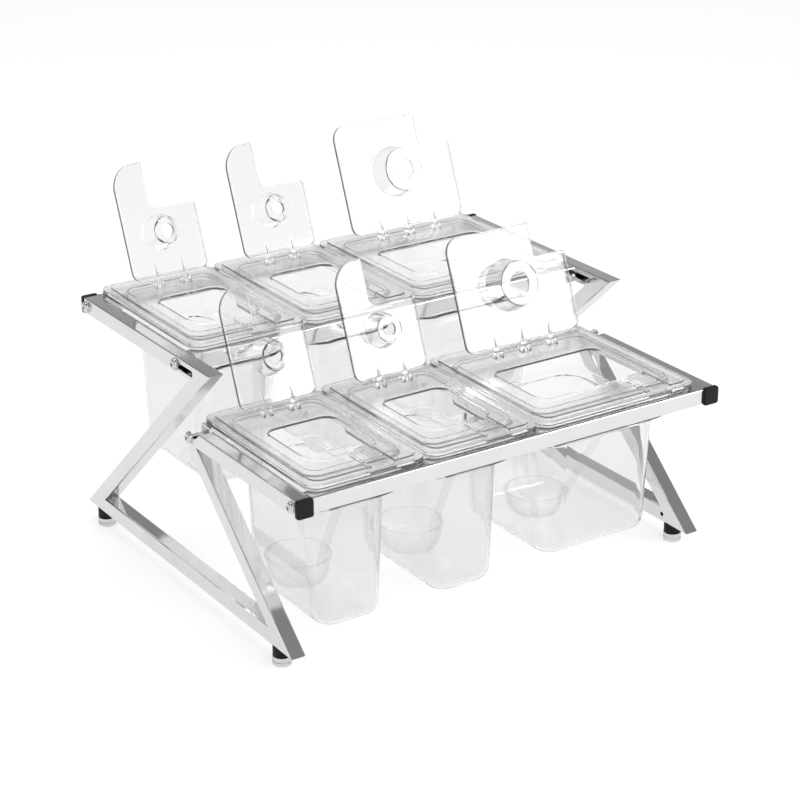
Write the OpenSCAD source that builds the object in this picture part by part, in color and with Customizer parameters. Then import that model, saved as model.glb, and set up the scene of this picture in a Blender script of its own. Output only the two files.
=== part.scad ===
// Two-tier condiment caddy: a zigzag rack of mitred square tube that carries six clear
// food pans, each with a clear lid base and a hinged flap that stands open.
// +Z is up, the front faces -Y, and the origin is under the middle of the rack on the table.

/* [Rack] */
// Gap between the row of pans and the side frames
side_gap = 2; // [1:0.1:8]
// Outside size of the square tube
tube = 14; // [13:0.5:15]
// Wall of the square tube
tube_wall = 1.4; // [1:0.1:2]
// Radius along the outside edges of the tube
tube_r = 1.5; // [0.8:0.1:2]
// Height of the upper rails' top face
upper_top = 213.4; // [205:0.1:235]
// Height of the lower rails' top face
lower_top = 156.7; // [155:0.1:162]
// Height of a whole foot, from the table to the base tube's underside
foot_h = 16; // [14:0.5:20]
// From the front caps' face back to the base tube's front corner
base_front = 33.8; // [28:0.1:40]
// From the lower rear bar's middle forward to the upper rail's front corner
corner_lead = 17.8; // [15:0.1:21]
// From the upper rail's front corner back to the upper front bar's middle
corner_back = 38.1; // [36.5:0.1:42]
// From the upper rear bar's middle back to the rear caps' face
rail_over = 10; // [9.6:0.1:16]
// From the rear caps' face forward to the base tube's rear corner
base_in = 7; // [0:0.1:11]
// How far the front leg's tip is ground into a flat where it is welded to the rear leg
weld_flat = 1.2; // [0.6:0.1:2]

/* [Cross bars and screws] */
// From the front caps' face back to the lower front bar's middle
lower_bar_y = 9.6; // [9.2:0.1:11]
// Gap between the pans' necks and the rear bars
rear_gap = 2; // [1.6:0.1:3]
// Diameter of the screws' shanks
screw_d = 5; // [4:0.5:5]
// Clearance of a screw in its hole and of a bar's end nut in the bar
screw_clear = 0.4; // [0.2:0.05:0.6]
// Diameter of the screws' button heads
screw_head_d = 9.5; // [8.5:0.1:10.5]
// Height of the screws' button heads
screw_head_h = 2.7; // [2:0.1:3.2]
// Across the flats of the hexagon socket
socket_af = 3; // [2.5:0.1:4]
// Diameter of the washers
washer_d = 11; // [10:0.5:12.5]
// Thickness of the washers
washer_t = 1; // [0.6:0.1:1.4]
// Length of the threaded nut block in each bar end
end_nut_l = 18; // [14:1:24]
// Length of the adjusting slot ahead of each upper front screw
slot_l = 28; // [20:0.5:30]

/* [Caps and feet] */
// Thickness of a rail cap's head
cap_t = 4; // [3:0.1:5]
// How far a cap's head stands proud of the tube
cap_proud = 0.7; // [0.3:0.1:1]
// Length of a cap's plug inside the tube
cap_plug = 12; // [8:1:18]
// Clearance round a cap's plug
cap_clear = 0.1; // [0.05:0.05:0.3]
// From the front caps' face back to the front feet
foot_front_y = 41; // [40:0.5:46]
// From the base tube's rear corner forward to the rear feet
foot_rear_in = 4.9; // [3:0.1:12]
// Diameter of a foot's steel disc
foot_d = 16; // [14:0.5:18]
// Height of a foot's steel disc
foot_disc_h = 8; // [6:0.5:9]
// Diameter of the black collar above a disc
collar_d = 15; // [13:0.5:16]
// Diameter of a foot's stud
stud_d = 6; // [5:0.5:8]
// Radial clearance of a turning pin or stud
pin_clear = 0.05; // [0.02:0.01:0.09]
// Gap kept between pieces that lift, turn or fold against each other
rest_gap = 0.3; // [0.2:0.05:0.4]

/* [Pans] */
// Width of a narrow pan over its rim
narrow_w = 108; // [106:0.5:109]
// Width of a wide pan over its rim
wide_w = 162; // [158:0.5:163]
// Gap between the rims of neighbouring pans
pan_gap = 1.5; // [1:0.1:2]
// Depth of a pan, front to back, over its rim
rim_depth = 170; // [168:0.5:171]
// From a front bar's front face back to the rims
rim_setback = 5; // [4:0.1:7]
// Thickness of a pan's rim
rim_t = 2.3; // [1.8:0.1:3]
// Corner radius of the rim
rim_r = 12; // [9:0.5:14]
// Thickness of a pan's walls
pan_wall = 2; // [1.5:0.1:2.5]
// Width of the rim's ledge at a pan's sides
ledge_x = 9.5; // [8.5:0.1:11]
// Width of the rim's ledge at a pan's front and back
ledge_y = 19; // [18.5:0.1:21]
// Corner radius of a pan's mouth
mouth_r = 14; // [11:0.5:17]
// Depth from the rim down to the stacking shoulder
shoulder_z = 27; // [22:0.5:32]
// How far the shoulder steps in at the sides
shoulder_x = 8; // [5:0.1:9]
// How far the shoulder steps in at the front and back
shoulder_y = 2.6; // [1.5:0.1:4]
// Corner radius of the body just under the shoulder
body_r = 24; // [16:0.5:26]
// How far each wall leans in from the shoulder to the bottom
draft_x = 5.2; // [3:0.1:7]
// Depth of a narrow pan below the rim's underside
narrow_h = 137.6; // [120:0.1:138]
// Depth of a wide pan below the rim's underside
wide_h = 134; // [118:0.1:138]
// Radius between walls and bottom
bottom_r = 12; // [8:0.5:14]
// Corner radius of the body at the bottom
corner_r = 18; // [15:0.5:20]

/* [Lid bases] */
// Thickness of a lid's flange and skirt
lid_t = 2; // [1.6:0.1:2.4]
// Height of the raised deck above the flange's underside
deck_h = 4.3; // [3.8:0.1:5.5]
// Thickness of the deck
deck_t = 1.8; // [1.5:0.1:2.2]
// Width of the flange round the deck
flange_w = 5.5; // [4:0.1:7]
// Depth of the locating skirt below the flange
skirt_h = 7; // [5:0.5:10]
// Clearance of the locating skirt in a pan's mouth
skirt_clear = 0.6; // [0.4:0.1:1]
// Height and width of the lip round the opening
lip = 1.4; // [1:0.1:1.6]
// Corner radius of the opening
opening_r = 12; // [8:0.5:14]
// Width of the trough that a ladle's handle lies in
trough_w = 21; // [16:0.5:24]

/* [Flaps] */
// From the rim's back edge forward to the hinge pin
hinge_in = 35.2; // [32:0.1:38]
// Height of the hinge pin above the deck
hinge_lift = 3.5; // [3.3:0.1:4.2]
// Diameter of the moulded hinge pins
hinge_pin_d = 3.2; // [2.6:0.1:3.6]
// Thickness of each hinge ear
ear_t = 2; // [1.6:0.1:2.6]
// Width of a flap's hinge arm
arm_w = 4.4; // [3.6:0.1:6]
// Angle that an open flap has swung from closed
open_angle = 112; // [95:1:118]
// Half the width of a narrow flap
narrow_flap = 36; // [34:0.5:38]
// Half the width of a wide flap
wide_flap = 60; // [56:0.5:62]
// From the rim's front edge back to a closed flap's far edge
flap_in = 29.8; // [27:0.1:35]
// Thickness of a flap
flap_t = 2; // [1.6:0.1:2.4]
// Depth of the skirt on a flap's underside
flap_skirt = 2; // [1.5:0.1:2.2]
// Thickness of a flap's skirt
flap_skirt_t = 1.5; // [1.2:0.1:1.8]
// Width of the ladle notch in a narrow flap
narrow_notch_w = 43; // [38:0.5:46]
// Length of the ladle notch in a narrow flap
narrow_notch_l = 41; // [34:0.5:44]
// Width of the ladle notch in a wide flap
wide_notch_w = 32; // [28:0.5:36]
// Length of the ladle notch in a wide flap
wide_notch_l = 30; // [26:0.5:34]

/* [Hidden] */

steel = [0.80, 0.81, 0.83];
dark_steel = [0.55, 0.56, 0.58];
black = [0.08, 0.08, 0.08];
clear = [0.90, 0.94, 0.96, 0.40];

LEFT = -1;
RIGHT = 1;
LOWER = 0;
UPPER = 1;
over = 0.5;      // how far a cut runs past the face that it opens
arc_fn = 48;     // facets asked for on round features

// Side frame, as centre lines in the YZ plane measured back from the front caps' face
row_w = 2 * narrow_w + wide_w + 2 * pan_gap;
inner_x = row_w / 2 + side_gap;
rail_x = inner_x + tube / 2;
bar_pitch = rim_setback + rim_depth - ledge_y + rear_gap;
upper_front = lower_bar_y + bar_pitch - corner_lead;
upper_bar_y = upper_front + corner_back;
rail_rear = upper_bar_y + bar_pitch + rail_over;
base_rear = rail_rear - base_in;
foot_rear_y = base_rear - foot_rear_in;
upper_z = upper_top - tube / 2;
lower_z = lower_top - tube / 2;
base_z = foot_h + tube / 2;
upper_corner = [upper_front, upper_z];
base_rear_corner = [base_rear, base_z];
base_front_corner = [base_front, base_z];
rear_leg_angle = atan2(upper_z - base_z, base_rear - upper_front);

// The front leg's top corner is where its tip, on the lower rail's top face, meets the rear leg
leg_face_y = upper_front + (upper_z - lower_top) / tan(rear_leg_angle) - tube / 2 / sin(rear_leg_angle);
function tip_run(run) = tube / 2 / tan(atan2(lower_z - base_z, run) / 2);
function front_run(run, n) =
    n == 0 ? run : front_run(leg_face_y + weld_flat - base_front - tip_run(run), n - 1);
lower_corner = [base_front + front_run(lower_z - base_z, 6), lower_z];
upper_end = [rail_rear - cap_t, upper_z];
lower_end = [cap_t, lower_z];

rack_depth = base_rear + tube / 2 / tan(rear_leg_angle / 2);
mid_y = rack_depth / 2;

// Pans, lids and flaps
pan_w = [narrow_w, narrow_w, wide_w];
pan_h = [narrow_h, narrow_h, wide_h];
pan_x = [-row_w / 2 + narrow_w / 2, -row_w / 2 + 1.5 * narrow_w + pan_gap, row_w / 2 - wide_w / 2];
bar_y = [lower_bar_y, upper_bar_y];
rail_top = [lower_top, upper_top];
hinge_y = rim_depth - hinge_in;
flap_l = hinge_y - flap_in;
flap_half = [narrow_flap, narrow_flap, wide_flap];
notch_w = [narrow_notch_w, narrow_notch_w, wide_notch_w];
notch_l = [narrow_notch_l, narrow_notch_l, wide_notch_l];
arm_x = [[-13, 13], [-13, 13], [-29, 0, 29]];
flap_corner_r = [22, 22, 14];
notch_fillet = [8, 8, 3];
// Sunk well in a flap: middle from the pin, offset to the left, radii at top and end, depth, hole radius
well = [[43, 2, 16, 12, 14, 6], [43, 2, 16, 12, 14, 6], [55.5, 4, 23.5, 19.7, 18, 9.7]];
flap_r = 8;
well_clear = 1;
rim_z = rest_gap;
lid_z = rim_z + rim_t + rest_gap;
deck_top = lid_z + deck_h;
hinge_z = deck_top + hinge_lift;
ear_r = hinge_lift - 0.1;
hinge_gap = ear_r + 1.1;      // the panel starts this far from the pin
// The opening's edges, measured forward from the hinge pin
opening_back = 26;
opening_front = flap_l - flap_skirt_t - 3 * lip;

function row_front(tier) = bar_y[tier] - tube / 2 + rim_setback;

// ---------- shared shapes ----------

// Rectangle with round corners, from squares and circles so that its corners stay true arcs
module round_rect(w, d, r) {
    square([w - 2 * r, d], center = true);
    square([w, d - 2 * r], center = true);
    for (x = [-1, 1], y = [-1, 1])
        translate([x * (w / 2 - r), y * (d / 2 - r)]) circle(r, $fn = arc_fn);
}

// What is cut from a square corner at the origin, facing +X +Y, to round it
module corner_cut(r) {
    difference() {
        translate([-over, -over]) square(r + over);
        translate([r, r]) circle(r, $fn = arc_fn);
    }
}

// Closed skin through rounded rectangles [half width, half depth, corner radius, height]
corner_steps = 6;
function ring(s) = [for (q = [0:3], k = [0:corner_steps])
    let (a = 90 * (q + k / corner_steps), sx = q == 0 || q == 3 ? 1 : -1, sy = q < 2 ? 1 : -1)
    [sx * (s[0] - s[2]) + s[2] * cos(a), sy * (s[1] - s[2]) + s[2] * sin(a), s[3]]];

module loft(sections) {
    n = 4 * (corner_steps + 1);
    rings = len(sections);
    polyhedron(
        points = [for (s = sections) each ring(s)],
        faces = concat(
            [[for (i = [0:n - 1]) i]],
            [[for (i = [n - 1:-1:0]) (rings - 1) * n + i]],
            [for (r = [0:rings - 2], i = [0:n - 1]) each [
                [r * n + i, (r + 1) * n + i, (r + 1) * n + (i + 1) % n],
                [r * n + i, (r + 1) * n + (i + 1) % n, r * n + (i + 1) % n]]]));
}

// ---------- side frames ----------

module tube_profile() {
    difference() {
        round_rect(tube, tube, tube_r);
        square(tube - 2 * tube_wall, center = true);
    }
}

// Turns +Z to point along [dy, dz]
module aim(d) {
    rotate([atan2(-d[0], d[1]), 0, 0]) children();
}

function unit(v) = v / norm(v);

// Removes what lies past corner p of a path that comes along a and leaves along b
module mitre_cut(p, a, b, size = 12 * tube) {
    n = unit(a) + unit(b);
    translate([0, p[0], p[1]]) aim(n) translate([-size / 2, -size / 2, 0]) cube(size);
}

// Tube from p to q; before and after are the path's next corners, where the ends are mitred
module tube_run(p, q, before = undef, after = undef) {
    spare = 3 * tube;
    start = is_undef(before) ? 0 : spare;
    stop = is_undef(after) ? 0 : spare;
    difference() {
        translate([0, p[0], p[1]]) aim(q - p) translate([0, 0, -start])
            linear_extrude(norm(q - p) + start + stop) tube_profile();
        if (!is_undef(before)) mitre_cut(p, p - q, before - p);
        if (!is_undef(after)) mitre_cut(q, q - p, after - q);
    }
}

module at_side(side) {
    translate([side * rail_x, -mid_y, 0]) children();
}

// Screw holes through both walls of a rail, where its two bars are
module screw_holes(tier) {
    for (y = [bar_y[tier], bar_y[tier] + bar_pitch])
        translate([0, y, rail_top[tier] - tube / 2]) rotate([0, 90, 0])
            cylinder(h = 2 * tube, d = screw_d + screw_clear, center = true, $fn = arc_fn);
}

module adjusting_slot() {
    h = screw_d + screw_clear;
    translate([0, upper_bar_y - slot_l / 2, upper_z]) rotate([90, 0, 90])
        translate([0, 0, -tube]) linear_extrude(2 * tube) round_rect(slot_l, h, h / 4);
}

module upper_rail(side) {
    color(steel) at_side(side) difference() {
        tube_run(upper_corner, upper_end, before = base_rear_corner);
        screw_holes(UPPER);
        adjusting_slot();
    }
}

module rear_leg(side) {
    color(steel) at_side(side)
        tube_run(upper_corner, base_rear_corner, before = upper_end, after = base_front_corner);
}

vent_d = 4;
module base_tube(side) {
    color(steel) at_side(side) difference() {
        tube_run(base_front_corner, base_rear_corner, before = lower_corner, after = upper_corner);
        foot_hole(foot_front_y);
        foot_hole(foot_rear_y);
        // gas vent on the inner face, just behind the front corner
        translate([-side * tube / 2, base_front + tube, base_z])
            rotate([0, 90, 0]) cylinder(h = tube, d = vent_d, center = true, $fn = arc_fn);
    }
}

// The rear leg's space, which the front leg's corner is ground back to
module rear_leg_space() {
    d = base_rear_corner - upper_corner;
    translate([0, upper_corner[0], upper_corner[1]]) aim(d)
        translate([-tube, -tube / 2, 0]) cube([2 * tube, 3 * tube, norm(d)]);
}

module front_leg(side) {
    color(steel) at_side(side) difference() {
        tube_run(base_front_corner, lower_corner, before = base_rear_corner, after = lower_end);
        rear_leg_space();
    }
}

module lower_rail(side) {
    color(steel) at_side(side) difference() {
        tube_run(lower_corner, lower_end, before = base_front_corner);
        rear_leg_space();
        screw_holes(LOWER);
    }
}

// ---------- cross bars and their fastening ----------

function bar_at(tier, rear) =
    [0, bar_y[tier] + (rear ? bar_pitch : 0) - mid_y, rail_top[tier] - tube / 2];

module cross_bar(tier, rear) {
    color(steel) translate(bar_at(tier, rear)) rotate([90, 0, 90])
        linear_extrude(2 * inner_x, center = true) tube_profile();
}

// Puts a piece at both ends of all four bars, with +Z pointing out of the rack from the bar's end
module at_bar_ends() {
    for (tier = [LOWER, UPPER], rear = [false, true], side = [LEFT, RIGHT])
        translate(bar_at(tier, rear)) rotate([0, side * 90, 0]) translate([0, 0, inner_x])
            children();
}

nut_size = tube - 2 * tube_wall - screw_clear;
module bar_end_nuts() {
    color(dark_steel) at_bar_ends() difference() {
        translate([-nut_size / 2, -nut_size / 2, -end_nut_l]) cube([nut_size, nut_size, end_nut_l]);
        translate([0, 0, -end_nut_l - over])
            cylinder(h = end_nut_l + 2 * over, r = screw_d / 2 + pin_clear, $fn = arc_fn);
    }
}

module bar_washers() {
    color(steel) at_bar_ends() translate([0, 0, tube]) difference() {
        cylinder(h = washer_t, d = washer_d, $fn = arc_fn);
        translate([0, 0, -over])
            cylinder(h = washer_t + 2 * over, d = screw_d + screw_clear, $fn = arc_fn);
    }
}

socket_depth = 0.6 * screw_head_h;
module bar_screws() {
    head_r = screw_head_d / 2;
    color(dark_steel) at_bar_ends() translate([0, 0, tube + washer_t]) difference() {
        union() {
            rotate_extrude($fn = arc_fn) polygon([[0, 0], [head_r, 0], [head_r, 0.15 * screw_head_h],
                [0.9 * head_r, 0.6 * screw_head_h], [0.72 * head_r, 0.88 * screw_head_h],
                [0.5 * head_r, screw_head_h], [0, screw_head_h]]);
            translate([0, 0, -tube - washer_t - 0.8 * end_nut_l])
                cylinder(h = tube + washer_t + 0.8 * end_nut_l + over, d = screw_d, $fn = arc_fn);
        }
        translate([0, 0, screw_head_h - socket_depth])
            cylinder(h = screw_head_h, d = socket_af / cos(30), $fn = 6);
    }
}

// ---------- caps and feet ----------

// faces is 1 for a cap that faces the front and -1 for the rear; screw is the bar's middle
module rail_cap(side, end, z, faces, screw) {
    plug = tube - 2 * tube_wall - 2 * cap_clear;
    // proud above, below and outside, but flush inside, where the cross bar passes
    difference() {
        translate([side * rail_x, end - mid_y, z]) rotate([faces * 90, 0, 0]) {
            translate([side * cap_proud / 2, 0, 0]) {
                linear_extrude(0.75 * cap_t)
                    round_rect(tube + cap_proud, tube + 2 * cap_proud, tube_r + cap_proud / 2);
                linear_extrude(cap_t)
                    round_rect(tube, tube + cap_proud, tube_r + cap_proud / 2);
            }
            translate([0, 0, -cap_plug]) linear_extrude(cap_plug + over)
                square(plug, center = true);
        }
        // the bar's screw passes through the plug and holds the cap
        translate([side * rail_x, screw - mid_y, z]) rotate([0, 90, 0])
            cylinder(h = tube, d = screw_d + screw_clear, center = true, $fn = arc_fn);
    }
}

module rail_caps() {
    color(black) for (side = [LEFT, RIGHT]) {
        rail_cap(side, lower_end[0], lower_z, 1, lower_bar_y);
        rail_cap(side, upper_end[0], upper_z, -1, upper_bar_y + bar_pitch);
    }
}

spigot_d = stud_d + 3;
spigot_h = tube_wall + 2.5;
module foot_hole(y) {
    translate([0, y, foot_h - over])
        cylinder(h = tube_wall + 2 * over, d = spigot_d + 2 * cap_clear, $fn = arc_fn);
}

module foot_collars() {
    color(black) for (side = [LEFT, RIGHT], y = [foot_front_y, foot_rear_y])
        translate([side * rail_x, y - mid_y, foot_disc_h]) difference() {
            union() {
                cylinder(h = foot_h - foot_disc_h, d = collar_d, $fn = arc_fn);
                cylinder(h = foot_h - foot_disc_h + spigot_h, d = spigot_d, $fn = arc_fn);
            }
            translate([0, 0, -over]) cylinder(h = foot_h, r = stud_d / 2 + pin_clear, $fn = arc_fn);
        }
}

foot_bevel = 0.8;
module foot(side, y) {
    stud_top = foot_h + spigot_h;
    color(steel) translate([side * rail_x, y - mid_y, 0]) {
        rotate_extrude($fn = arc_fn) polygon([[0, 0], [foot_d / 2 - foot_bevel, 0],
            [foot_d / 2, foot_bevel], [foot_d / 2, foot_disc_h - foot_bevel - rest_gap],
            [foot_d / 2 - foot_bevel, foot_disc_h - rest_gap], [0, foot_disc_h - rest_gap]]);
        cylinder(h = stud_top, d = stud_d, $fn = arc_fn);
    }
}

// ---------- pans ----------

// Steps round the bottom edge, from the flat bottom up to the wall
fillet_steps = 4;
function bottom_rings(hx, hy, r, z, fillet) = [for (k = [0:fillet_steps])
    let (a = 90 * k / fillet_steps, in = fillet * (1 - sin(a)))
    [hx - in, hy - in, r - in, z + fillet * (1 - cos(a))]];

function reversed(list) = [for (i = [len(list) - 1:-1:0]) list[i]];

rim_round = 0.7;
ledge_fall = 3;      // height of the slanting shoulder
neck_draft = 0.8;    // how far the neck leans in from rim to shoulder
function pan_skin(w, h) =
    let (rx = w / 2, ry = rim_depth / 2, nx = rx - ledge_x, ny = ry - ledge_y,
        bx = nx - neck_draft - shoulder_x, by = ny - neck_draft - shoulder_y,
        draft_y = draft_x / 2, t = pan_wall)
    concat(
        bottom_rings(bx - draft_x, by - draft_y, corner_r, -h + rim_z, bottom_r),
        [[bx, by, body_r, -shoulder_z - ledge_fall],
         [nx - neck_draft, ny - neck_draft, mouth_r, -shoulder_z],
         [nx, ny, mouth_r, rim_z],
         [rx - rim_round, ry - rim_round, rim_r - rim_round, rim_z],
         [rx, ry, rim_r, rim_z + rim_round],
         [rx, ry, rim_r, rim_z + rim_t - rim_round],
         [rx - rim_round, ry - rim_round, rim_r - rim_round, rim_z + rim_t],
         [nx - t, ny - t, mouth_r - t, rim_z + rim_t],
         [nx - t - neck_draft, ny - t - neck_draft, mouth_r - t, t - shoulder_z],
         [bx - t, by - t, body_r - t, t - shoulder_z - ledge_fall]],
        reversed(bottom_rings(bx - draft_x - t, by - draft_y - t, corner_r - t,
            -h + rim_z + t, bottom_r - t)));

module at_pan(tier, column) {
    translate([pan_x[column], row_front(tier) + rim_depth / 2 - mid_y, rail_top[tier]]) children();
}

module pan(tier, column) {
    color(clear) at_pan(tier, column) loft(pan_skin(pan_w[column], pan_h[column]));
}

// ---------- lid bases ----------

// Moves to a lid's hinge line, where -Y runs forward over the lid and z = 0 is the pin's height
module at_hinge(tier, column) {
    translate([pan_x[column], row_front(tier) + hinge_y - mid_y, rail_top[tier] + hinge_z])
        children();
}

module slab(w, d, r, z0, z1) {
    translate([0, 0, z0]) linear_extrude(z1 - z0) round_rect(w, d, r);
}

// The opening in hinge coordinates, grown by e on every side; its far left corner follows the flap's
module opening_outline(column, e) {
    inset = flap_skirt_t + 2 * lip - e;
    half = flap_half[column] - inset;
    back = opening_back - e;
    front = opening_front + e;
    difference() {
        translate([0, -(front + back) / 2]) round_rect(2 * half, front - back, opening_r + e);
        translate([-half, -front]) corner_cut(flap_corner_r[column] - inset);
    }
}

// Hinge ears at every arm: a pair of posts with round tops
module ears(column) {
    for (x = arm_x[column], s = [-1, 1])
        translate([x + s * (arm_w / 2 + rest_gap + ear_t / 2), 0, 0]) {
            rotate([0, 90, 0]) cylinder(h = ear_t, r = ear_r, center = true, $fn = arc_fn);
            translate([-ear_t / 2, -ear_r, -hinge_lift - deck_t / 2])
                cube([ear_t, 2 * ear_r, hinge_lift + deck_t / 2]);
        }
}

module ear_bores(column) {
    span = arm_w + 2 * rest_gap + 2 * ear_t + 2 * over;
    for (x = arm_x[column]) translate([x, 0, 0]) rotate([0, 90, 0])
        cylinder(h = span, r = hinge_pin_d / 2 + pin_clear, center = true, $fn = arc_fn);
}

module lid(tier, column) {
    w = pan_w[column];
    mouth_w = w - 2 * (ledge_x + pan_wall + skirt_clear);
    mouth_d = rim_depth - 2 * (ledge_y + pan_wall + skirt_clear);
    skirt_r = mouth_r - pan_wall - skirt_clear;
    deck_w = w - 2 * flange_w;
    deck_d = rim_depth - 2 * flange_w;
    deck_r = rim_r - flange_w / 2;
    trough_x = flap_half[column] - notch_w[column] / 2;
    trough_l = hinge_y - opening_front;
    to_hinge = [0, hinge_y - rim_depth / 2, hinge_z];
    color(clear) at_pan(tier, column) difference() {
        union() {
            difference() {
                union() {
                    slab(w, rim_depth, rim_r, lid_z, lid_z + lid_t);
                    slab(deck_w, deck_d, deck_r, lid_z, deck_top);
                }
                slab(deck_w - 2 * deck_t, deck_d - 2 * deck_t, deck_r - deck_t,
                    lid_z - over, deck_top - deck_t);
            }
            // skirt that locates the lid in the pan's mouth
            difference() {
                slab(mouth_w, mouth_d, skirt_r, lid_z - skirt_h, deck_top - deck_t / 2);
                slab(mouth_w - 2 * lid_t, mouth_d - 2 * lid_t, skirt_r - lid_t,
                    lid_z - skirt_h - over, deck_top);
            }
            // lip round the opening
            translate([0, to_hinge[1], deck_top - deck_t])
                linear_extrude(deck_t + lip) opening_outline(column, lip);
            // floor and cheeks of the trough
            translate([trough_x - trough_w / 2 - deck_t, -deck_d / 2, lid_z])
                cube([trough_w + 2 * deck_t, trough_l - flange_w, deck_h]);
            translate(to_hinge) ears(column);
        }
        translate([0, to_hinge[1], lid_z - skirt_h])
            linear_extrude(skirt_h + hinge_z) opening_outline(column, 0);
        translate([trough_x - trough_w / 2, -rim_depth / 2 - over, lid_z + lid_t])
            cube([trough_w, trough_l + 2 * lip, hinge_z]);
        translate(to_hinge) ear_bores(column);
    }
}

// ---------- flaps ----------

// A closed flap seen from above, pin on the X axis and -Y forward, drawn in by e on every side
module flap_outline(column, e) {
    half = flap_half[column] - e;
    far = flap_l - e;
    near = hinge_gap + e;
    step_x = flap_half[column] - notch_w[column] - e;
    step_y = flap_l - notch_l[column] - e;
    fillet = notch_fillet[column] + e;
    big_r = flap_corner_r[column] - e;
    small_r = flap_r - e;
    difference() {
        union() {
            translate([-half, -step_y]) square([2 * half, step_y - near]);
            translate([-half, -far]) square([half + step_x, far - near]);
            // web of the notch's inner fillet
            translate([step_x - over, -step_y - fillet]) square([fillet + over, fillet + over]);
        }
        translate([step_x + fillet, -step_y - fillet]) circle(fillet, $fn = arc_fn);
        translate([-half, -far]) corner_cut(big_r);
        translate([-half, -near]) mirror([0, 1]) corner_cut(small_r);
        translate([half, -near]) mirror([1, 0]) mirror([0, 1]) corner_cut(small_r);
        translate([half, -step_y]) mirror([1, 0]) corner_cut(small_r / 4);
    }
}

// Side view of a hinge arm: a barrel on the pin, the arm, and the heel that stops the flap
heel_r = hinge_lift + 0.4;
heel_angle = open_angle - asin((hinge_lift - rest_gap / 2) / heel_r);
barrel_r = hinge_pin_d / 2 + 1;
module arm_profile() {
    circle(barrel_r, $fn = arc_fn);
    translate([-hinge_gap - flap_t, -flap_t / 2]) square([hinge_gap + flap_t, flap_t]);
    polygon([[0, 0], [0, barrel_r], [heel_r * cos(heel_angle), heel_r * sin(heel_angle)],
        [barrel_r, 0]]);
}

rib_l = 15;
rib_t = 1.6;
module flap_closed(column) {
    s = well[column];
    difference() {
        union() {
            translate([0, 0, -flap_t / 2]) linear_extrude(flap_t) flap_outline(column, 0);
            // skirt on the underside, left off along the ladle notch
            translate([0, 0, -flap_t / 2 - flap_skirt]) linear_extrude(flap_skirt + over)
                difference() {
                    flap_outline(column, 0);
                    flap_outline(column, flap_skirt_t);
                    translate([flap_half[column] - notch_w[column] - 2 * flap_skirt_t, -flap_l - over])
                        square([notch_w[column] + 3 * flap_skirt_t,
                            notch_l[column] + 2 * flap_skirt_t + over]);
                }
            translate([-s[1], -s[0], -flap_t / 2 - s[4]]) cylinder(h = s[4] + flap_t / 2,
                r1 = s[3], r2 = s[2], $fn = arc_fn);
            for (x = arm_x[column]) translate([x, 0, 0]) {
                rotate([90, 0, 90]) linear_extrude(arm_w, center = true) arm_profile();
                rotate([0, 90, 0]) cylinder(h = arm_w + 2 * rest_gap + 2 * ear_t,
                    d = hinge_pin_d, center = true, $fn = arc_fn);
                // rib that stiffens the panel ahead of the arm
                rotate([90, 0, 90]) translate([0, 0, -rib_t / 2]) linear_extrude(rib_t)
                    polygon([[-hinge_gap, 0], [-hinge_gap, -flap_t / 2 - flap_skirt],
                        [-hinge_gap - rib_l, -flap_t / 2], [-hinge_gap - rib_l, 0]]);
            }
        }
        // the sunk well, open above, with a hole in its floor
        translate([-s[1], -s[0], -flap_t / 2 - s[4] + flap_t]) cylinder(h = s[4] + over,
            r1 = s[3] - flap_t, r2 = s[2] - flap_t, $fn = arc_fn);
        translate([-s[1], -s[0], -flap_t / 2 - s[4] - over])
            cylinder(h = s[4], r = s[5], $fn = arc_fn);
    }
}

module flap(tier, column) {
    color(clear) at_hinge(tier, column) rotate([-open_angle, 0, 0]) flap_closed(column);
}

// ---------- the nodes ----------

upper_rail(LEFT);  // upper_rail_left
upper_rail(RIGHT);  // upper_rail_right
rear_leg(LEFT);  // rear_leg_left
rear_leg(RIGHT);  // rear_leg_right
base_tube(LEFT);  // base_tube_left
base_tube(RIGHT);  // base_tube_right
front_leg(LEFT);  // front_leg_left
front_leg(RIGHT);  // front_leg_right
lower_rail(LEFT);  // lower_rail_left
lower_rail(RIGHT);  // lower_rail_right
cross_bar(UPPER, true);  // upper_rear_bar
cross_bar(UPPER, false);  // upper_front_bar
cross_bar(LOWER, true);  // lower_rear_bar
cross_bar(LOWER, false);  // lower_front_bar
bar_end_nuts();
bar_screws();
bar_washers();
rail_caps();
foot_collars();
foot(LEFT, foot_front_y);  // foot_front_left
foot(RIGHT, foot_front_y);  // foot_front_right
foot(LEFT, foot_rear_y);  // foot_rear_left
foot(RIGHT, foot_rear_y);  // foot_rear_right
pan(LOWER, 0);  // pan_lower_left
pan(LOWER, 1);  // pan_lower_middle
pan(LOWER, 2);  // pan_lower_right
pan(UPPER, 0);  // pan_upper_left
pan(UPPER, 1);  // pan_upper_middle
pan(UPPER, 2);  // pan_upper_right
lid(LOWER, 0);  // lid_lower_left
lid(LOWER, 1);  // lid_lower_middle
lid(LOWER, 2);  // lid_lower_right
lid(UPPER, 0);  // lid_upper_left
lid(UPPER, 1);  // lid_upper_middle
lid(UPPER, 2);  // lid_upper_right
flap(LOWER, 0);  // flap_lower_left
flap(LOWER, 1);  // flap_lower_middle
flap(LOWER, 2);  // flap_lower_right
flap(UPPER, 0);  // flap_upper_left
flap(UPPER, 1);  // flap_upper_middle
flap(UPPER, 2);  // flap_upper_right
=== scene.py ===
import math
import bmesh
import bpy
from mathutils import Matrix, Vector


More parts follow.
